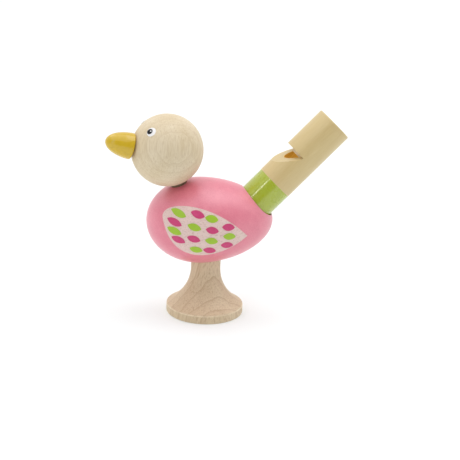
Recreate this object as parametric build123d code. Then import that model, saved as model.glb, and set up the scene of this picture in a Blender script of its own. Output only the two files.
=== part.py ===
from build123d import *
import math
import os

# Wooden bird call: a ball-headed bird on a turned stand, whose tail is a whistle.
# Millimetres and degrees. The origin is the centre of the stand's underside, +Z is up,
# the beak points to -X, the tail to +X, and the bird's left side is -Y.

# Stand, one turned piece whose neck is glued into the body
foot_diameter = 24.0
rim_height = 2.8
rim_round = 0.5
neck_diameter = 9.2
cove_top = 14.6
neck_glued_depth = 7.0
body_underside = 17.1

# Body, an egg with its blunt end at the breast
breast_length = 16.5
rump_length = 23.2
body_height = 26.5
body_width = 27.8
breast_fullness = 0.552
rump_fullness = 0.515
body_ahead_of_stand = 2.5
body_pitch = 1.4

# Tail whistle, a drilled tube in a socket of the body
tail_rise = 45.0
tail_behind_body_centre = 12.5
tube_diameter = 12.0
tube_showing = 32.2
tube_in_socket = 11.4
bore_diameter = 7.7
mouth_round = 0.35
window_from_mouth = 14.4
window_depth = 4.6
ramp_length = 7.3
windway_height = 1.0
block_proud = 0.7
stopper_length = 5.0
band_from_mouth = 26.0
band_length = 12.0
lacquer_thickness = 0.1
socket_relief = 0.35
socket_relief_depth = 4.5
socket_rim_round = 0.2

# Head, a ball on a dowel
head_diameter = 22.1
head_gap = 0.3
neck_lean = 20.0
neck_ahead_of_body_centre = 2.4
dowel_diameter = 5.0
dowel_in_head = 6.0
dowel_in_body = 6.0
dowel_chamfer = 0.5

# Beak, a bullet with a peg
beak_diameter = 8.2
beak_length = 8.4
beak_pitch = 15.0
beak_below_head_centre = 1.4
beak_sink = 0.1
beak_base_round = 0.4
peg_diameter = 4.0
peg_length = 5.0

# Printed wings and eyes
wing_front = 13.2
wing_front_rise = 3.2
wing_tip = 12.6
wing_tip_drop = 1.6
wing_shoulder_ahead = 0.9
wing_shoulder_rise = 4.7
wing_crest_ahead = 1.5
wing_crest = 12.3
wing_chin_behind = 2.1
wing_chin_drop = 12.2
wing_belly_behind = 0.6
wing_belly = 11.0
spot_length = 4.2
spot_width = 2.2
spot_column_count = 4
spot_row_count = 4
spot_first_column = -10.3
spot_pitch = 5.6
spot_row_pitch = 2.6
spot_bow = 0.0085
spot_tilt = -12.0
spot_fan = 0.85
spot_margin = 0.1
eye_turn = 42.0
eye_rise = 42.0
eye_white_diameter = 3.0
pupil_diameter = 1.8
pupil_towards_beak = 0.5
glint_diameter = 0.5
glint_from_pupil = 0.35

# Clearances and ink
glue_gap = 0.05
slide_gap = 0.08
socket_floor_gap = 0.1
peg_end_gap = 0.5
ink_gap = 0.02
ink_thickness = 0.05

# Places that follow from the sizes
neck_radius = neck_diameter / 2
tube_radius = tube_diameter / 2
bore_radius = bore_diameter / 2
head_radius = head_diameter / 2
beak_radius = beak_diameter / 2
tube_length = tube_showing + tube_in_socket
body_centre = Vector(-body_ahead_of_stand, 0, body_underside + body_height / 2)
body_place = Location(tuple(body_centre), (0, body_pitch, 0))
cut_margin = 5.0
from_base = (Align.CENTER, Align.CENTER, Align.MIN)


def heading(rise):
    """Unit vector in the bird's middle plane, at an angle above +X."""
    return Vector(math.cos(math.radians(rise)), 0, math.sin(math.radians(rise)))


def half_egg(length, fullness, grow):
    """One end of the egg along X, where a negative length points to the breast."""
    reach = length + math.copysign(grow, length)
    half_height = body_height / 2 + grow
    half_width = body_width / 2 + grow
    skin = Bezier(
        (0, -half_height),
        (fullness * reach, -half_height),
        (reach, -fullness * half_height),
        (reach, 0),
    )
    section = make_face(skin + Polyline((reach, 0), (0, 0), (0, -half_height)))
    round_half = revolve(Plane.XZ * section, Axis.X)
    return scale(round_half, by=(1, half_width / half_height, 1))


def body_skin(grow=0.0):
    """The egg without its holes, with its skin moved outwards by grow."""
    breast = half_egg(-breast_length, breast_fullness, grow)
    rump = half_egg(rump_length, rump_fullness, grow)
    return body_place * breast.fuse(rump)


def skin_distance(blank, start, direction):
    """How far the skin of a blank is from a point inside it, along a direction."""
    hits = []
    for face in blank.faces():
        hits += face.find_intersection_points(Axis(start, direction))
    return max((point - start).dot(direction) for point, normal in hits)


body_blank = body_skin()

# Tail: its axis leaves the body's centre line behind the widest place
tail_direction = heading(tail_rise)
window_side = heading(tail_rise + 90)
tail_root = body_centre + Vector(tail_behind_body_centre, 0, 0)
tail_seat = skin_distance(body_blank, tail_root, tail_direction)
mouth_centre = tail_root + tail_direction * (tail_seat + tube_showing)
tail_plane = Plane(origin=mouth_centre, x_dir=window_side, z_dir=tail_direction * -1)

# Head: it stands on the body along the neck's axis
neck_direction = heading(90 + neck_lean)
neck_root = body_centre - Vector(neck_ahead_of_body_centre, 0, 0)
neck_seat = skin_distance(body_blank, neck_root, neck_direction)
head_centre = neck_root + neck_direction * (neck_seat + head_gap + head_radius)
dowel_length = dowel_in_head + dowel_in_body
dowel_plane = Plane(
    origin=neck_root + neck_direction * (neck_seat - dowel_in_body),
    x_dir=(0, 1, 0),
    z_dir=neck_direction,
)

# Beak: its axis passes a little below the head's centre
beak_direction = heading(180 - beak_pitch)
beak_up = heading(90 - beak_pitch)
beak_seat = math.sqrt(head_radius**2 - beak_below_head_centre**2) - beak_sink
beak_plane = Plane(
    origin=head_centre - beak_up * beak_below_head_centre + beak_direction * beak_seat,
    x_dir=(0, 1, 0),
    z_dir=beak_direction,
)


def make_body():
    """Egg with a socket for the tail, and holes for the stand and the neck dowel."""
    socket_place = tail_plane * Pos(0, 0, tube_showing)
    relief_radius = tube_radius + socket_relief
    relief = Pos(0, 0, -cut_margin) * Cylinder(relief_radius, cut_margin + socket_relief_depth, align=from_base)
    body = body_blank - socket_place * relief
    rim = body.faces().filter_by(GeomType.CYLINDER).edges().filter_by(GeomType.BSPLINE)
    body = fillet(rim, socket_rim_round)
    body -= socket_place * Cylinder(tube_radius + slide_gap, tube_in_socket + socket_floor_gap, align=from_base)
    neck_top = body_underside + neck_glued_depth + glue_gap
    body -= Cylinder(neck_radius + glue_gap, neck_top, align=from_base)
    dowel_hole = Cylinder(dowel_diameter / 2 + glue_gap, dowel_length, align=from_base)
    body -= dowel_plane * Pos(0, 0, -peg_end_gap) * dowel_hole
    return body


def make_stand():
    """Pedestal with a rimmed foot, a cove and a straight neck."""
    foot_radius = foot_diameter / 2
    neck_top = body_underside + neck_glued_depth
    cove = TangentArc((neck_radius, cove_top), (foot_radius, rim_height), tangent=(0, -1))
    outline = cove + Polyline(
        (foot_radius, rim_height),
        (foot_radius, 0),
        (0, 0),
        (0, neck_top),
        (neck_radius, neck_top),
        (neck_radius, cove_top),
    )
    stand = revolve(Plane.XZ * make_face(outline), Axis.Z)
    rim = stand.edges().filter_by(GeomType.CIRCLE).filter_by(lambda edge: edge.radius > foot_radius - rim_round)
    return fillet(rim, rim_round)


def make_head():
    """Ball with a flat and a hole for the beak, and a hole for the neck dowel."""
    head = Pos(*head_centre) * Sphere(head_radius)
    dowel_hole = Cylinder(dowel_diameter / 2 + glue_gap, dowel_length + peg_end_gap, align=from_base)
    head -= dowel_plane * dowel_hole
    head -= beak_plane * Cylinder(beak_radius, cut_margin, align=from_base)
    peg_depth = peg_length + peg_end_gap
    peg_hole = Pos(0, 0, -peg_depth) * Cylinder(peg_diameter / 2 + glue_gap, peg_depth, align=from_base)
    return head - beak_plane * peg_hole


def make_neck_dowel():
    """Plain dowel with broken ends, half in the head and half in the body."""
    dowel = Cylinder(dowel_diameter / 2, dowel_length, align=from_base)
    dowel = chamfer(dowel.edges().filter_by(GeomType.CIRCLE), dowel_chamfer)
    return dowel_plane * dowel


def make_beak():
    """Half-ellipsoid bullet with a rounded base edge and a peg behind it."""
    bullet_section = EllipticalCenterArc((0, 0), beak_radius, beak_length, start_angle=0, arc_size=90)
    bullet_section += Polyline((0, beak_length), (0, 0), (beak_radius, 0))
    bullet = revolve(Plane.XZ * make_face(bullet_section), Axis.Z)
    bullet = fillet(bullet.edges().filter_by(GeomType.CIRCLE), beak_base_round)
    peg = Pos(0, 0, -peg_length) * Cylinder(peg_diameter / 2, peg_length, align=from_base)
    return beak_plane * (bullet + peg)


def make_whistle_tube():
    """Tube with the sound window cut into its upper side and a shallow seat for the green band."""
    tube = Cylinder(tube_radius, tube_length, align=from_base)
    tube = fillet(tube.edges().group_by(Axis.Z)[0], mouth_round)
    window_floor = tube_radius - window_depth
    ramp_slope = ramp_length / window_depth
    window_top = tube_radius + cut_margin
    window_outline = Polyline(
        (window_floor, window_from_mouth),
        (window_top, window_from_mouth),
        (window_top, window_from_mouth + ramp_slope * (window_top - window_floor)),
        close=True,
    )
    window = extrude(Plane.XZ * make_face(window_outline), tube_diameter, both=True)
    tube -= window
    band_seat = Cylinder(tube_diameter, band_length, align=from_base)
    band_seat -= Cylinder(tube_radius - lacquer_thickness - ink_gap, band_length, align=from_base)
    tube -= Pos(0, 0, band_from_mouth) * band_seat
    tube -= Cylinder(bore_radius, tube_length, align=from_base)
    return tail_plane * tube


def make_tail_band():
    """Green lacquer, flush with the tube."""
    band = Cylinder(tube_radius, band_length, align=from_base)
    band -= Cylinder(tube_radius - lacquer_thickness, band_length, align=from_base)
    return tail_plane * Pos(0, 0, band_from_mouth) * band


def make_fipple_block():
    """Dowel in the mouth end, with a flat that leaves the windway under the top of the bore."""
    block_length = window_from_mouth + block_proud
    block = Cylinder(bore_radius - glue_gap, block_length, align=from_base)
    flat = bore_radius - windway_height
    windway = Box(bore_diameter, bore_diameter, block_length, align=(Align.MIN, Align.CENTER, Align.MIN))
    return tail_plane * (block - Pos(flat, 0, 0) * windway)


def make_tube_stopper():
    """Dowel that closes the lower end of the bore."""
    stopper = Cylinder(bore_radius - glue_gap, stopper_length, align=from_base)
    return tail_plane * Pos(0, 0, tube_length - stopper_length) * stopper


def ink_layer(skin, level):
    """Thin shell of ink over a skin, where level 0 lies on the paint and 1 on level 0."""
    inner = ink_gap + level * (ink_gap + ink_thickness)
    return skin(inner + ink_thickness) - skin(inner)


def wing_outline():
    """Leaf-shaped wing in the side view, from its round front to its tip at the rear."""
    front = (-wing_front, wing_front_rise)
    tip = (wing_tip, -wing_tip_drop)
    shoulder = (-wing_front - wing_shoulder_ahead, wing_front_rise + wing_shoulder_rise)
    chin = (-wing_front + wing_chin_behind, wing_front_rise - wing_chin_drop)
    upper = Bezier(front, shoulder, (-wing_crest_ahead, wing_crest), tip)
    lower = Bezier(tip, (wing_belly_behind, -wing_belly), chin, front)
    return make_face(upper + lower)


def spot_outline(x, z):
    """Almond at a place on the wing, turned further the nearer it lies to the wing's front."""
    belly = spot_width / 2
    ends = ((-spot_length / 2, 0), (spot_length / 2, 0))
    almond = make_face(
        ThreePointArc(ends[0], (0, belly), ends[1]) + ThreePointArc(ends[1], (0, -belly), ends[0])
    )
    return Pos(x, z) * Rot(0, 0, spot_tilt + spot_fan * x) * almond


def spot_places():
    """Columns across the wing, bowed like its ends: (colour number, x, z) for each spot that fits."""
    wing = wing_outline()
    free_wing = offset(wing, -spot_margin)
    places = []
    for column in range(spot_column_count):
        column_x = spot_first_column + column * spot_pitch
        across = wing & Line((column_x, -body_height), (column_x, body_height))
        bottom, top = sorted(vertex.Y for vertex in across.vertices())
        count = min(spot_row_count, int((top - bottom) / spot_row_pitch))
        for row in range(count):
            z = top - (top - bottom) * (row + 0.5) / count
            from_middle = z - (top + bottom) / 2
            x = column_x - spot_bow * column_x * from_middle**2
            spot = spot_outline(x, z)
            if not (spot - free_wing):
                places.append(((column + row) % 2, x, z))
    return places


def on_side(outline, side):
    """Prism from the middle plane through one side of the bird; side is -1 for left, 1 for right."""
    prism = extrude(Plane.XZ * outline, -side * body_width)
    return body_place * prism


def make_wing(side):
    """Pale printed panel on one side of the body."""
    return ink_layer(body_skin, 0) & on_side(wing_outline(), side)


def make_spots(side, colour):
    """All spots of one colour on one wing."""
    spots = [spot_outline(x, z) for number, x, z in spot_places() if number == colour]
    layer = ink_layer(body_skin, 1)
    return Compound([solid for spot in spots for solid in (layer & on_side(spot, side)).solids()])


def head_skin(grow=0.0):
    """The ball of the head without its holes."""
    return Pos(*head_centre) * Sphere(head_radius + grow)


def eye_plane(side):
    """Plane that looks out of the eye, x towards the beak, y up on the right side and down on the left."""
    turn = math.radians(eye_turn)
    rise = math.radians(eye_rise)
    outwards = Vector(-math.cos(turn) * math.cos(rise), side * math.sin(turn) * math.cos(rise), math.sin(rise))
    level = Vector(0, 0, 1).cross(outwards)
    return Plane(origin=head_centre, x_dir=level * side, z_dir=outwards)


def eye_disc(side, diameter, level, x, y):
    """Round print on the head, x towards the beak and y upwards from the middle of the eye."""
    post = Pos(x, side * y) * Cylinder(diameter / 2, head_diameter, align=from_base)
    return ink_layer(head_skin, level) & (eye_plane(side) * post)


def make_eye_white(side):
    return eye_disc(side, eye_white_diameter, 0, 0, 0)


def make_pupil(side):
    return eye_disc(side, pupil_diameter, 1, pupil_towards_beak, 0)


def make_eye_glint(side):
    x = pupil_towards_beak - glint_from_pupil
    return eye_disc(side, glint_diameter, 2, x, glint_from_pupil / 2)


left = -1
right = 1
green = 0
magenta = 1
parts = {
    "body": make_body(),
    "stand": make_stand(),
    "head": make_head(),
    "neck_dowel": make_neck_dowel(),
    "beak": make_beak(),
    "whistle_tube": make_whistle_tube(),
    "tail_band": make_tail_band(),
    "fipple_block": make_fipple_block(),
    "tube_stopper": make_tube_stopper(),
}
for name, side in (("left", left), ("right", right)):
    parts[name + "_wing"] = make_wing(side)
    parts[name + "_wing_green_spots"] = make_spots(side, green)
    parts[name + "_wing_magenta_spots"] = make_spots(side, magenta)
    parts[name + "_eye_white"] = make_eye_white(side)
    parts[name + "_pupil"] = make_pupil(side)
    parts[name + "_eye_glint"] = make_eye_glint(side)

os.makedirs("parts", exist_ok=True)
for name, shape in parts.items():
    export_step(shape, os.path.join("parts", name + ".step"))

whole = Compound([shape for shape in parts.values()]).bounding_box()
print("box", whole.min, whole.max, whole.size)
print("head centre", head_centre)
print("mouth centre", mouth_centre)
print("tail root", tail_root, "seat", tail_seat)
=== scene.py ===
import math

import bpy
from mathutils import Matrix, Vector

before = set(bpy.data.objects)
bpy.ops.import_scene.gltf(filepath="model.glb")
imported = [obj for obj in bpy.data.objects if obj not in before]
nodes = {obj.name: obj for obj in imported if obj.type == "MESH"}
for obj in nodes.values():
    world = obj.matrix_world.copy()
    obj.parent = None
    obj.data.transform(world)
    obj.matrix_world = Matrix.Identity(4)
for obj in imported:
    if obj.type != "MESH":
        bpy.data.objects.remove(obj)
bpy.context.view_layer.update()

# Places and sizes of the bird's pieces, in millimetres
HEAD_CENTRE = (-13.2, 0.0, 53.14)
BODY_CENTRE = (-2.5, 0.0, 30.35)
BEAK_CENTRE = (-28.0, 0.0, 54.0)
BAND_CENTRE = (18.0, 0.0, 38.0)
MOUTH_CENTRE = (39.47, 0.0, 59.82)
TAIL_RISE = math.radians(45)
BEAK_PITCH = math.radians(15)
BORE_RADIUS = 3.85
SOCKET_RADIUS = 6.32
SOCKET_FLOOR = 43.8
RIM_RADIUS = 11.2
RIM_EDGE_LOW = 2.3
RIM_EDGE_HIGH = 2.9
MM = 1000.0

# Heart of the growth rings of each wooden piece, beside the piece so that the rings arch over it
HEAD_HEART = (HEAD_CENTRE[0], 26, HEAD_CENTRE[2])
STAND_HEART = (9, -36, 0)
TUBE_HEART = (MOUTH_CENTRE[0], 24, MOUTH_CENTRE[2])
PLUG_HEART = (MOUTH_CENTRE[0], 14, MOUTH_CENTRE[2])
NECK_HEART = (HEAD_CENTRE[0], 14, HEAD_CENTRE[2])

# Turns that lay the grain along each piece
HEAD_GRAIN = (math.radians(20), math.radians(-5), 0)
STAND_GRAIN = (math.radians(-12), math.radians(-9), 0)
TAIL_GRAIN = (0, -TAIL_RISE, 0)

# Relief of the surfaces, in metres
SANDED_RELIEF = 0.00003
PAINT_RELIEF = 0.00006

# Camera of the photograph
CAMERA_TARGET = Vector((0.00738, 0.0, 0.02647))
CAMERA_DISTANCE = 0.5
CAMERA_TURN = math.radians(-14.09)
CAMERA_RISE = math.radians(19.31)
CAMERA_ROLL = math.radians(2.19)
CAMERA_LENS = 125.6
CAMERA_SENSOR = 36.0
CAMERA_NEAREST = 0.01

# Floor paper and studio
FLOOR_SIZE = 8.0
PAPER_DARK = (0.65, 0.67, 0.67, 1)
PAPER_PALE = (0.66, 0.68, 0.68, 1)
PAPER_FAR_GLOW = (2.0, 2.0, 2.0, 1)
PAPER_GLOW = 0.44
PAPER_GLOW_STARTS = 0.3
PAPER_GLOW_FULL = 1.5
STUDIO_FRONT = (0.2, 0.2, 0.2, 1)
STUDIO_BACK = (0.95, 0.95, 0.95, 1)

# Softboxes: direction from the bird, distance, width and height in metres, power in watts
SOFTBOXES = {
    "strip_left": ((-0.651, -0.523, 0.55), 0.9, 0.035, 0.3, 0.55),
    "overhead": ((-0.1, -0.15, 1.0), 1.0, 1.3, 1.3, 5.4),
    "top_key": ((0.45, -0.04, 0.9), 1.0, 0.9, 0.6, 2.1),
    "left_fill": ((-0.75, -0.6, 0.25), 0.9, 0.4, 0.4, 0.35),
    "front_fill": ((0.75, -0.7, 0.2), 1.0, 1.0, 0.5, 0.35),
    "back_top": ((-0.35, 0.52, 0.76), 1.0, 0.4, 0.3, 0.6),
    "right_top": ((0.8, -0.05, 0.6), 1.0, 0.6, 0.6, 0.9),
}

# Kinds of socket in the node groups
COLOUR = "NodeSocketColor"
VALUE = "NodeSocketFloat"
POINT = "NodeSocketVector"
LOOK = [("Colour", COLOUR), ("Roughness", VALUE), ("Height", VALUE)]
BLACK = (0, 0, 0, 1)


def colour(red, green, blue):
    """Linear colour of a tone given in display values from 0 to 255."""
    def linear(tone):
        tone /= 255
        return tone / 12.92 if tone <= 0.04045 else ((tone + 0.055) / 1.055) ** 2.4
    return (linear(red), linear(green), linear(blue), 1.0)


def add_node(tree, kind, inputs=None, **settings):
    """Adds a node, sets its options, and fills its inputs with values or links."""
    node = tree.nodes.new(kind)
    for name, value in settings.items():
        setattr(node, name, value)
    for name, value in (inputs or {}).items():
        if isinstance(value, bpy.types.NodeSocket):
            tree.links.new(value, node.inputs[name])
        else:
            node.inputs[name].default_value = value
    return node


def math_node(tree, operation, *values):
    """Adds a Math node and returns its result."""
    node = add_node(tree, "ShaderNodeMath", dict(enumerate(values)), operation=operation)
    return node.outputs["Value"]


def plus(tree, first, second):
    """Sum of two values."""
    return math_node(tree, "ADD", first, second)


def minus(tree, first, second):
    """Difference of two values."""
    return math_node(tree, "SUBTRACT", first, second)


def times(tree, first, second):
    """Product of two values."""
    return math_node(tree, "MULTIPLY", first, second)


def larger(tree, first, second):
    """Larger of two values."""
    return math_node(tree, "MAXIMUM", first, second)


def stretched(tree, point, scale):
    """Scales a point by a different amount along each axis."""
    node = add_node(tree, "ShaderNodeVectorMath", {0: point, 1: scale}, operation="MULTIPLY")
    return node.outputs["Vector"]


def reach(tree, point):
    """Distance of a point from the origin."""
    return add_node(tree, "ShaderNodeVectorMath", {0: point}, operation="LENGTH").outputs["Value"]


def height_of(tree, point):
    """Z of a point."""
    return add_node(tree, "ShaderNodeSeparateXYZ", {"Vector": point}).outputs["Z"]


def noise(tree, point, scale=1.0, detail=2.0, roughness=0.5):
    """Noise from 0 to 1 at a point."""
    node = add_node(
        tree,
        "ShaderNodeTexNoise",
        {"Vector": point, "Scale": scale, "Detail": detail, "Roughness": roughness},
    )
    return node.outputs["Fac"]


def between(tree, value, low, high):
    """Smooth step of a value from 0 at low to 1 at high."""
    node = add_node(
        tree,
        "ShaderNodeMapRange",
        {"Value": value, "From Min": low, "From Max": high, "To Min": 0.0, "To Max": 1.0},
        interpolation_type="SMOOTHSTEP",
    )
    return node.outputs["Result"]


def mix_colour(tree, share, first, second):
    """Mixes two colours."""
    node = add_node(tree, "ShaderNodeMix", {0: share, 6: first, 7: second}, data_type="RGBA")
    return node.outputs[2]


def dashes(tree, point, scale, low, high):
    """Short marks along Z, as the rays of beech show on a turned face."""
    marks = noise(tree, stretched(tree, point, scale), detail=1.0, roughness=0.4)
    return between(tree, marks, low, high)


def in_millimetres(tree, centre, turn=(0, 0, 0)):
    """Object coordinates in millimetres from a centre, turned to lie along a piece."""
    place = add_node(tree, "ShaderNodeTexCoord").outputs["Object"]
    offset = [-value for value in centre]
    from_centre = {"Vector": place, "Location": offset, "Scale": (MM, MM, MM)}
    point = add_node(tree, "ShaderNodeMapping", from_centre).outputs["Vector"]
    if any(turn):
        turned = {"Vector": point, "Rotation": turn}
        point = add_node(tree, "ShaderNodeMapping", turned).outputs["Vector"]
    return point


def new_group(name, inputs, outputs):
    """Starts a node group with named inputs and outputs."""
    group = bpy.data.node_groups.new(name, "ShaderNodeTree")
    for label, kind, value in inputs:
        socket = group.interface.new_socket(name=label, in_out="INPUT", socket_type=kind)
        if value is not None:
            socket.default_value = value
    for label, kind in outputs:
        group.interface.new_socket(name=label, in_out="OUTPUT", socket_type=kind)
    return group, group.nodes.new("NodeGroupInput").outputs, group.nodes.new("NodeGroupOutput")


def finish_group(group, end, results):
    """Links the results of a group to its outputs."""
    for name, socket in results.items():
        group.links.new(socket, end.inputs[name])
    return group


def place_group(tree, group, inputs):
    """Places a node group in a material, with its own values."""
    return add_node(tree, "ShaderNodeGroup", inputs, node_tree=group).outputs


def make_wood_grain():
    """Sanded wood with its grain along Z: growth rings, short ray flecks and fine fibres."""
    group, given, end = new_group(
        "wood_grain",
        [
            ("Point", POINT, None),
            ("Pale", COLOUR, (0.7, 0.55, 0.4, 1)),
            ("Tan", COLOUR, (0.6, 0.45, 0.3, 1)),
            ("Fleck", COLOUR, (0.4, 0.25, 0.15, 1)),
            ("Ring Width", VALUE, 3.0),
            ("Ring Strength", VALUE, 0.4),
            ("Fleck Strength", VALUE, 0.5),
            ("Base Roughness", VALUE, 0.55),
        ],
        LOOK,
    )
    ring_wander, late_wood_edge = 0.9, 9.0
    ring_share, streak_share, tone_gain = 0.35, 0.9, 0.48
    short_share, fibre_shine = 0.8, 0.22
    fibre_height, dash_depth = 0.6, 0.5
    point = given["Point"]

    # Growth rings round the heart, which wander a little
    wander = noise(group, stretched(group, point, (1, 1, 0.25)), scale=0.22, detail=3.0)
    from_heart = reach(group, stretched(group, point, (1, 1, 0.02)))
    turns = math_node(group, "DIVIDE", from_heart, given["Ring Width"])
    ring = math_node(group, "FRACT", plus(group, turns, times(group, wander, ring_wander)))
    late_wood = math_node(group, "POWER", ring, late_wood_edge)

    # Clouds, streaks, fibres and flecks along the grain
    cloud = noise(group, stretched(group, point, (1, 1, 0.35)), scale=0.11)
    streak = noise(group, stretched(group, point, (3.2, 3.2, 0.22)), detail=3.0, roughness=0.6)
    fibre = noise(group, stretched(group, point, (9.0, 9.0, 0.5)))
    long_dash = dashes(group, point, (2.6, 2.6, 0.16), 0.52, 0.75)
    short_dash = dashes(group, point, (4.4, 4.4, 0.34), 0.54, 0.76)
    dash = larger(group, long_dash, times(group, short_dash, short_share))

    tone = plus(group, between(group, cloud, 0.3, 0.7), times(group, ring, ring_share))
    tone = plus(group, tone, times(group, between(group, streak, 0.3, 0.75), streak_share))
    wood = mix_colour(group, times(group, tone, tone_gain), given["Pale"], given["Tan"])
    flecks = times(group, dash, given["Fleck Strength"])
    lines = times(group, late_wood, given["Ring Strength"])
    wood = mix_colour(group, larger(group, flecks, lines), wood, given["Fleck"])
    shine = times(group, minus(group, fibre, 0.5), fibre_shine)
    rough = plus(group, given["Base Roughness"], shine)
    height = minus(group, times(group, fibre, fibre_height), times(group, dash, dash_depth))
    return finish_group(group, end, {"Colour": wood, "Roughness": rough, "Height": height})


def make_paint_film():
    """Paint over turned wood: soft mottling, stipple, faint grain and rubbed places."""
    group, given, end = new_group(
        "paint_film",
        [
            ("Point", POINT, None),
            ("Deep", COLOUR, (0.7, 0.2, 0.3, 1)),
            ("Light", COLOUR, (0.8, 0.3, 0.4, 1)),
            ("Rubbed", COLOUR, (0.9, 0.6, 0.6, 1)),
            ("Mottle", VALUE, 0.5),
            ("Grain", VALUE, 0.3),
            ("Base Roughness", VALUE, 0.4),
        ],
        LOOK,
    )
    cloud_share, patch_share, stipple_share = 0.45, 0.2, 0.35
    grain_share, speck_share, patch_shine = 0.6, 0.35, 0.08
    stipple_height, grain_height, speck_height = 0.5, 1.5, 0.8
    point = given["Point"]

    cloud = between(group, noise(group, point, scale=0.13, detail=3.0, roughness=0.6), 0.3, 0.72)
    patch = between(group, noise(group, point, scale=0.55), 0.35, 0.75)
    stipple = noise(group, point, scale=2.4, roughness=0.6)
    grain = noise(group, stretched(group, point, (0.35, 4.0, 4.0)), detail=3.0, roughness=0.6)
    grain_line = times(group, between(group, grain, 0.55, 0.8), given["Grain"])
    nib = add_node(
        group,
        "ShaderNodeTexVoronoi",
        {"Vector": point, "Scale": 0.9, "Randomness": 1.0},
        feature="F1",
    )
    speck = between(group, nib.outputs["Distance"], 0.09, 0.03)

    mottle = plus(group, times(group, cloud, cloud_share), times(group, patch, patch_share))
    fine = times(group, between(group, stipple, 0.35, 0.65), stipple_share)
    mottle = times(group, plus(group, mottle, fine), given["Mottle"])
    paint = mix_colour(group, mottle, given["Deep"], given["Light"])
    paint = mix_colour(group, times(group, grain_line, grain_share), paint, given["Deep"])
    paint = mix_colour(group, times(group, speck, speck_share), paint, given["Rubbed"])
    shine = times(group, minus(group, patch, 0.5), patch_shine)
    rough = plus(group, given["Base Roughness"], shine)
    grain_relief = times(group, grain, times(group, given["Grain"], grain_height))
    height = plus(group, times(group, stipple, stipple_height), grain_relief)
    height = plus(group, height, times(group, speck, speck_height))
    return finish_group(group, end, {"Colour": paint, "Roughness": rough, "Height": height})


def make_ink_print():
    """Printed ink over a wooden skin: fine cross flecks, thin places and a matt surface."""
    group, given, end = new_group(
        "ink_print",
        [
            ("Point", POINT, None),
            ("Ink", COLOUR, (0.8, 0.6, 0.6, 1)),
            ("Thin", COLOUR, (0.8, 0.5, 0.5, 1)),
            ("Fleck", COLOUR, (0.6, 0.4, 0.4, 1)),
            ("Fleck Strength", VALUE, 0.3),
            ("Base Roughness", VALUE, 0.5),
        ],
        LOOK,
    )
    thin_share, thin_shine = 0.5, 0.1
    upright_height, weave_depth = 0.4, 0.4
    point = given["Point"]

    along = noise(group, stretched(group, point, (0.9, 5.0, 6.0)), roughness=0.6)
    upright = noise(group, stretched(group, point, (5.0, 5.0, 1.2)), roughness=0.6)
    weave = larger(group, between(group, along, 0.52, 0.74), between(group, upright, 0.58, 0.78))
    thin = between(group, noise(group, point, scale=0.8, detail=3.0, roughness=0.6), 0.45, 0.75)

    ink = mix_colour(group, times(group, thin, thin_share), given["Ink"], given["Thin"])
    flecks = times(group, weave, given["Fleck Strength"])
    ink = mix_colour(group, flecks, ink, given["Fleck"])
    rough = plus(group, given["Base Roughness"], times(group, thin, thin_shine))
    height = minus(group, times(group, upright, upright_height), times(group, weave, weave_depth))
    return finish_group(group, end, {"Colour": ink, "Roughness": rough, "Height": height})


def make_bare_hole():
    """Hole drilled down Z, left in bare wood from its mouth to its floor."""
    group, given, end = new_group(
        "bare_hole",
        [
            ("Point", POINT, None),
            ("Outside", COLOUR, (0.8, 0.6, 0.6, 1)),
            ("Pale", COLOUR, (0.7, 0.55, 0.4, 1)),
            ("Tan", COLOUR, (0.6, 0.45, 0.3, 1)),
            ("Radius", VALUE, 4.0),
            ("Depth", VALUE, 40.0),
        ],
        [("Colour", COLOUR), ("Glow", COLOUR)],
    )
    wall_skin, wall_edge, floor_skin = 0.04, 0.12, 0.3
    point = given["Point"]

    from_axis = reach(group, stretched(group, point, (1, 1, 0)))
    edge = plus(group, given["Radius"], wall_edge)
    near_axis = between(group, from_axis, edge, plus(group, given["Radius"], wall_skin))
    hole_floor = times(group, given["Depth"], -1.0)
    below_floor = minus(group, hole_floor, floor_skin)
    above_floor = between(group, height_of(group, point), below_floor, hole_floor)
    inside = times(group, near_axis, above_floor)
    fibre = noise(group, stretched(group, point, (3, 3, 0.4)))
    wood = mix_colour(group, between(group, fibre, 0.3, 0.7), given["Pale"], given["Tan"])
    skin = mix_colour(group, inside, given["Outside"], wood)
    # Glow: the bare wood inside the hole made to give light, as painted warm light
    painted_glow = mix_colour(group, inside, BLACK, wood)
    return finish_group(group, end, {"Colour": skin, "Glow": painted_glow})


WOOD_GRAIN = make_wood_grain()
PAINT_FILM = make_paint_film()
INK_PRINT = make_ink_print()
BARE_HOLE = make_bare_hole()


def surface(
    name, group, values, centre, turn=(0, 0, 0), bump=0.2, relief=SANDED_RELIEF, shader=None
):
    """Material whose colour, roughness and relief come from a node group."""
    material = bpy.data.materials.new(name)
    material.use_nodes = True
    tree = material.node_tree
    tree.nodes.clear()
    look = place_group(tree, group, {"Point": in_millimetres(tree, centre, turn), **values})
    dent = add_node(
        tree,
        "ShaderNodeBump",
        {"Height": look["Height"], "Strength": bump, "Distance": relief},
    )
    skin = add_node(
        tree,
        "ShaderNodeBsdfPrincipled",
        {
            "Base Color": look["Colour"],
            "Roughness": look["Roughness"],
            "Normal": dent.outputs["Normal"],
            **(shader or {}),
        },
    )
    add_node(tree, "ShaderNodeOutputMaterial", {"Surface": skin.outputs["BSDF"]})
    return material


def skin_of(material):
    """The shader of a material, and the socket that gives its colour."""
    tree = material.node_tree
    skin = next(node for node in tree.nodes if node.type == "BSDF_PRINCIPLED")
    return tree, skin, skin.inputs["Base Color"].links[0].from_socket


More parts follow.
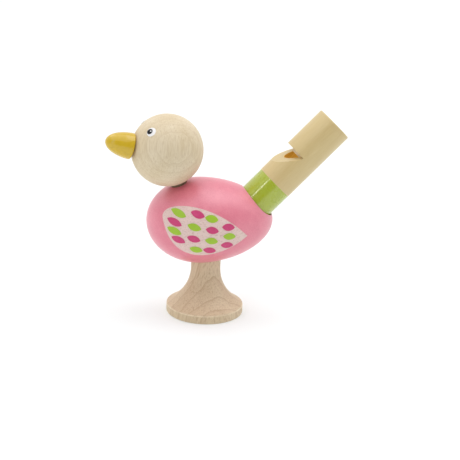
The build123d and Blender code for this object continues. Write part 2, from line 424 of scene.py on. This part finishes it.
def paint_rim_highlight(material, radius, low, high, pale):
    """Paints a highlight on the rounded upper edge of the stand's rim: a paler band that stands
    in for the light the edge catches.
    """
    edge_width, edge_middle, highlight_share = 0.5, 0.05, 0.7
    tree, skin, wood = skin_of(material)
    point = in_millimetres(tree, (0, 0, 0))
    from_axis = reach(tree, stretched(tree, point, (1, 1, 0)))
    off_edge = math_node(tree, "ABSOLUTE", minus(tree, height_of(tree, point), (low + high) / 2))
    edge = between(tree, off_edge, (high - low) / 2, edge_middle)
    edge = times(tree, edge, between(tree, from_axis, radius, radius + edge_width))
    # Patches along the edge that take more of the painted highlight
    highlight_patches = between(tree, noise(tree, point, scale=0.6), 0.25, 0.6)
    share = times(tree, edge, times(tree, highlight_patches, highlight_share))
    tree.links.new(mix_colour(tree, share, wood, pale), skin.inputs["Base Color"])


def bare_wood_inside(material, radius, pale, tan, painted_glow=0.0):
    """Leaves the hole along the tail's axis in bare wood, and can make the hole glow: painted
    warm light inside it, which no lamp gives.
    """
    tree, skin, outside = skin_of(material)
    hole = place_group(tree, BARE_HOLE, {
        "Point": in_millimetres(tree, MOUTH_CENTRE, TAIL_GRAIN),
        "Outside": outside,
        "Pale": pale,
        "Tan": tan,
        "Radius": radius,
        "Depth": SOCKET_FLOOR,
    })
    tree.links.new(hole["Colour"], skin.inputs["Base Color"])
    if painted_glow:
        tree.links.new(hole["Glow"], skin.inputs["Emission Color"])
        skin.inputs["Emission Strength"].default_value = painted_glow


# Painted and bare wood
pink_paint = surface(
    "pink_paint",
    PAINT_FILM,
    {
        "Deep": colour(221, 112, 134),
        "Light": colour(238, 142, 159),
        "Rubbed": colour(248, 204, 204),
        "Mottle": 0.8,
        "Grain": 0.4,
        "Base Roughness": 0.36,
    },
    BODY_CENTRE,
    bump=0.9,
    relief=PAINT_RELIEF,
    shader={"Coat Weight": 0.4, "Coat Roughness": 0.34, "Specular IOR Level": 0.8},
)
bare_wood_inside(pink_paint, SOCKET_RADIUS, colour(206, 172, 124), colour(186, 150, 104))
head_beech = surface(
    "head_beech",
    WOOD_GRAIN,
    {
        "Pale": colour(229, 215, 189),
        "Tan": colour(208, 188, 152),
        "Fleck": colour(178, 147, 108),
        "Ring Width": 1.6,
        "Ring Strength": 0.2,
        "Fleck Strength": 0.28,
        "Base Roughness": 0.56,
    },
    HEAD_HEART,
    turn=HEAD_GRAIN,
    bump=0.1,
)
stand_beech = surface(
    "stand_beech",
    WOOD_GRAIN,
    {
        "Pale": colour(229, 211, 180),
        "Tan": colour(207, 184, 149),
        "Fleck": colour(174, 140, 106),
        "Ring Width": 3.6,
        "Ring Strength": 0.55,
        "Fleck Strength": 0.5,
        "Base Roughness": 0.56,
    },
    STAND_HEART,
    turn=STAND_GRAIN,
    bump=0.12,
)
# Painted highlight: a paler band on the rim's rounded upper edge, standing in for the light it
# catches
paint_rim_highlight(stand_beech, RIM_RADIUS, RIM_EDGE_LOW, RIM_EDGE_HIGH, colour(243, 226, 198))
tube_wood = surface(
    "tube_wood",
    WOOD_GRAIN,
    {
        "Pale": colour(213, 191, 139),
        "Tan": colour(204, 180, 124),
        "Fleck": colour(186, 158, 104),
        "Ring Width": 4.0,
        "Ring Strength": 0.06,
        "Fleck Strength": 0.08,
        "Base Roughness": 0.42,
    },
    TUBE_HEART,
    turn=TAIL_GRAIN,
    bump=0.1,
    shader={"Coat Weight": 0.4, "Coat Roughness": 0.4},
)
# The bore's amber wood, brighter than the tube's outside, and its glow are painted warm light, as
# if light shone in through the thin wall
bare_wood_inside(tube_wood, BORE_RADIUS, colour(243, 207, 97), colour(225, 183, 77), painted_glow=0.13)
dowel_wood = surface(
    "dowel_wood",
    WOOD_GRAIN,
    {
        "Pale": colour(206, 168, 110),
        "Tan": colour(188, 146, 88),
        "Fleck": colour(150, 108, 60),
        "Ring Width": 2.4,
        "Ring Strength": 0.3,
        "Fleck Strength": 0.4,
        "Base Roughness": 0.6,
    },
    PLUG_HEART,
    turn=TAIL_GRAIN,
)
# Neck dowel darkened as painted shade: it fills the shadowed gap between the head and the body
shade_darkened_dowel = surface(
    "shade_darkened_dowel",
    WOOD_GRAIN,
    {
        "Pale": colour(126, 108, 78),
        "Tan": colour(104, 86, 60),
        "Fleck": colour(74, 58, 40),
        "Ring Width": 2.4,
        "Ring Strength": 0.3,
        "Fleck Strength": 0.4,
        "Base Roughness": 0.6,
    },
    NECK_HEART,
)
# Fipple block in a paler copy of the plug wood: painted light that lifts the shadow it sits in
# under the tube's cut
block_wood_painted_light = surface(
    "block_wood_painted_light",
    WOOD_GRAIN,
    {
        "Pale": colour(232, 216, 184),
        "Tan": colour(221, 203, 167),
        "Fleck": colour(200, 172, 128),
        "Ring Width": 2.4,
        "Ring Strength": 0.15,
        "Fleck Strength": 0.2,
        "Base Roughness": 0.6,
    },
    PLUG_HEART,
    turn=TAIL_GRAIN,
)

# Gloss lacquers
yellow_lacquer = surface(
    "yellow_lacquer",
    PAINT_FILM,
    {
        "Deep": colour(208, 173, 36),
        "Light": colour(214, 182, 44),
        "Rubbed": colour(230, 204, 100),
        "Mottle": 0.25,
        "Grain": 0.04,
        "Base Roughness": 0.3,
    },
    BEAK_CENTRE,
    turn=(0, -BEAK_PITCH, 0),
    bump=0.05,
    shader={"Coat Weight": 1.0, "Coat Roughness": 0.04, "Specular IOR Level": 0.1},
)
green_lacquer = surface(
    "green_lacquer",
    PAINT_FILM,
    {
        "Deep": colour(166, 180, 40),
        "Light": colour(173, 187, 50),
        "Rubbed": colour(206, 214, 130),
        "Mottle": 0.5,
        "Grain": 0.02,
        "Base Roughness": 0.3,
    },
    BAND_CENTRE,
    turn=(0, TAIL_RISE, 0),
    bump=0.004,
    shader={"Coat Weight": 1.0, "Coat Roughness": 0.03},
)

# Printed wings and eyes
wing_print = surface(
    "wing_print",
    INK_PRINT,
    {
        "Ink": colour(230, 204, 197),
        "Thin": colour(228, 194, 190),
        "Fleck": colour(190, 146, 136),
        "Fleck Strength": 0.9,
        "Base Roughness": 0.55,
    },
    BODY_CENTRE,
)
spot_green = surface(
    "spot_green",
    INK_PRINT,
    {
        "Ink": colour(160, 196, 48),
        "Thin": colour(170, 204, 70),
        "Fleck": colour(136, 172, 40),
        "Fleck Strength": 0.25,
        "Base Roughness": 0.5,
    },
    BODY_CENTRE,
    bump=0.12,
)
spot_magenta = surface(
    "spot_magenta",
    INK_PRINT,
    {
        "Ink": colour(204, 60, 116),
        "Thin": colour(212, 82, 134),
        "Fleck": colour(178, 46, 96),
        "Fleck Strength": 0.25,
        "Base Roughness": 0.5,
    },
    BODY_CENTRE,
    bump=0.12,
)
eye_white = surface(
    "eye_white",
    INK_PRINT,
    {
        "Ink": colour(242, 240, 240),
        "Thin": colour(236, 228, 228),
        "Fleck": colour(224, 214, 206),
        "Fleck Strength": 0.15,
        "Base Roughness": 0.35,
    },
    HEAD_CENTRE,
    bump=0.08,
)
eye_black = surface(
    "eye_black",
    INK_PRINT,
    {
        "Ink": colour(14, 14, 18),
        "Thin": colour(26, 26, 32),
        "Fleck": colour(16, 16, 18),
        "Fleck Strength": 0.3,
        "Base Roughness": 0.3,
    },
    HEAD_CENTRE,
    bump=0.08,
    shader={"Specular IOR Level": 0.25},
)

finishes = {
    "body": pink_paint,
    "head": head_beech,
    "stand": stand_beech,
    "neck_dowel": shade_darkened_dowel,
    "beak": yellow_lacquer,
    "whistle_tube": tube_wood,
    "tail_band": green_lacquer,
    "fipple_block": block_wood_painted_light,
    "tube_stopper": dowel_wood,
}
for side in ("left", "right"):
    finishes[side + "_wing"] = wing_print
    finishes[side + "_wing_green_spots"] = spot_green
    finishes[side + "_wing_magenta_spots"] = spot_magenta
    finishes[side + "_eye_white"] = eye_white
    finishes[side + "_pupil"] = eye_black
    finishes[side + "_eye_glint"] = eye_white
for name, finish in finishes.items():
    nodes[name].data.materials.clear()
    nodes[name].data.materials.append(finish)

# Pale floor of paper, lit from below so that it stays white
bpy.ops.object.select_all(action="DESELECT")
bpy.ops.mesh.primitive_plane_add(size=FLOOR_SIZE, location=(0, 0, 0))
floor = bpy.context.active_object
floor.name = "floor"
floor_paper = bpy.data.materials.new("floor_paper")
floor_paper.use_nodes = True
paper_tree = floor_paper.node_tree
paper_tree.nodes.clear()
paper_place = add_node(paper_tree, "ShaderNodeTexCoord").outputs["Object"]
paper_tone = noise(paper_tree, paper_place, scale=3.0, detail=3.0)
paper_colour = mix_colour(paper_tree, paper_tone, PAPER_DARK, PAPER_PALE)
paper_reach = reach(paper_tree, paper_place)
paper_far = between(paper_tree, paper_reach, PAPER_GLOW_STARTS, PAPER_GLOW_FULL)
paper_glow = mix_colour(paper_tree, paper_far, paper_colour, PAPER_FAR_GLOW)
paper_skin = add_node(
    paper_tree,
    "ShaderNodeBsdfPrincipled",
    {
        "Base Color": paper_colour,
        "Roughness": 0.8,
        "Emission Color": paper_glow,
        "Emission Strength": PAPER_GLOW,
    },
)
add_node(paper_tree, "ShaderNodeOutputMaterial", {"Surface": paper_skin.outputs["BSDF"]})
floor.data.materials.append(floor_paper)

# Studio that is darker behind the camera than behind the bird
world = bpy.data.worlds.new("white_studio")
bpy.context.scene.world = world
world.use_nodes = True
sky_tree = world.node_tree
sky_way = add_node(sky_tree, "ShaderNodeTexCoord").outputs["Generated"]
sky_axes = add_node(sky_tree, "ShaderNodeSeparateXYZ", {"Vector": sky_way})
sky_share = between(sky_tree, sky_axes.outputs["Y"], -0.7, 0.5)
sky_colour = mix_colour(sky_tree, sky_share, STUDIO_FRONT, STUDIO_BACK)
sky_tree.links.new(sky_colour, sky_tree.nodes["Background"].inputs["Color"])


def add_softbox(name, direction, distance, width, height, power):
    """Rectangular area light that looks at the bird."""
    light = bpy.data.lights.new(name, "AREA")
    light.shape = "RECTANGLE"
    light.size = width
    light.size_y = height
    light.energy = power
    lamp = bpy.data.objects.new(name, light)
    bpy.context.scene.collection.objects.link(lamp)
    way = Vector(direction).normalized()
    lamp.location = CAMERA_TARGET + way * distance
    lamp.rotation_euler = way.to_track_quat("Z", "Y").to_euler()


for name, settings in SOFTBOXES.items():
    add_softbox(name, *settings)

# Camera at the photograph's angle
back = Vector((
    math.sin(CAMERA_TURN) * math.cos(CAMERA_RISE),
    -math.cos(CAMERA_TURN) * math.cos(CAMERA_RISE),
    math.sin(CAMERA_RISE),
))
level = Vector((math.cos(CAMERA_TURN), math.sin(CAMERA_TURN), 0.0))
upright = back.cross(level)
across = level * math.cos(CAMERA_ROLL) + upright * math.sin(CAMERA_ROLL)
upwards = upright * math.cos(CAMERA_ROLL) - level * math.sin(CAMERA_ROLL)
lens = bpy.data.cameras.new("photo_camera")
lens.lens = CAMERA_LENS
lens.sensor_width = CAMERA_SENSOR
lens.clip_start = CAMERA_NEAREST
camera = bpy.data.objects.new("photo_camera", lens)
bpy.context.scene.collection.objects.link(camera)
stance = Matrix((across, upwards, back)).transposed().to_4x4()
camera.matrix_world = Matrix.Translation(CAMERA_TARGET + back * CAMERA_DISTANCE) @ stance
bpy.context.scene.camera = camera
bpy.context.scene.view_settings.view_transform = "Standard"
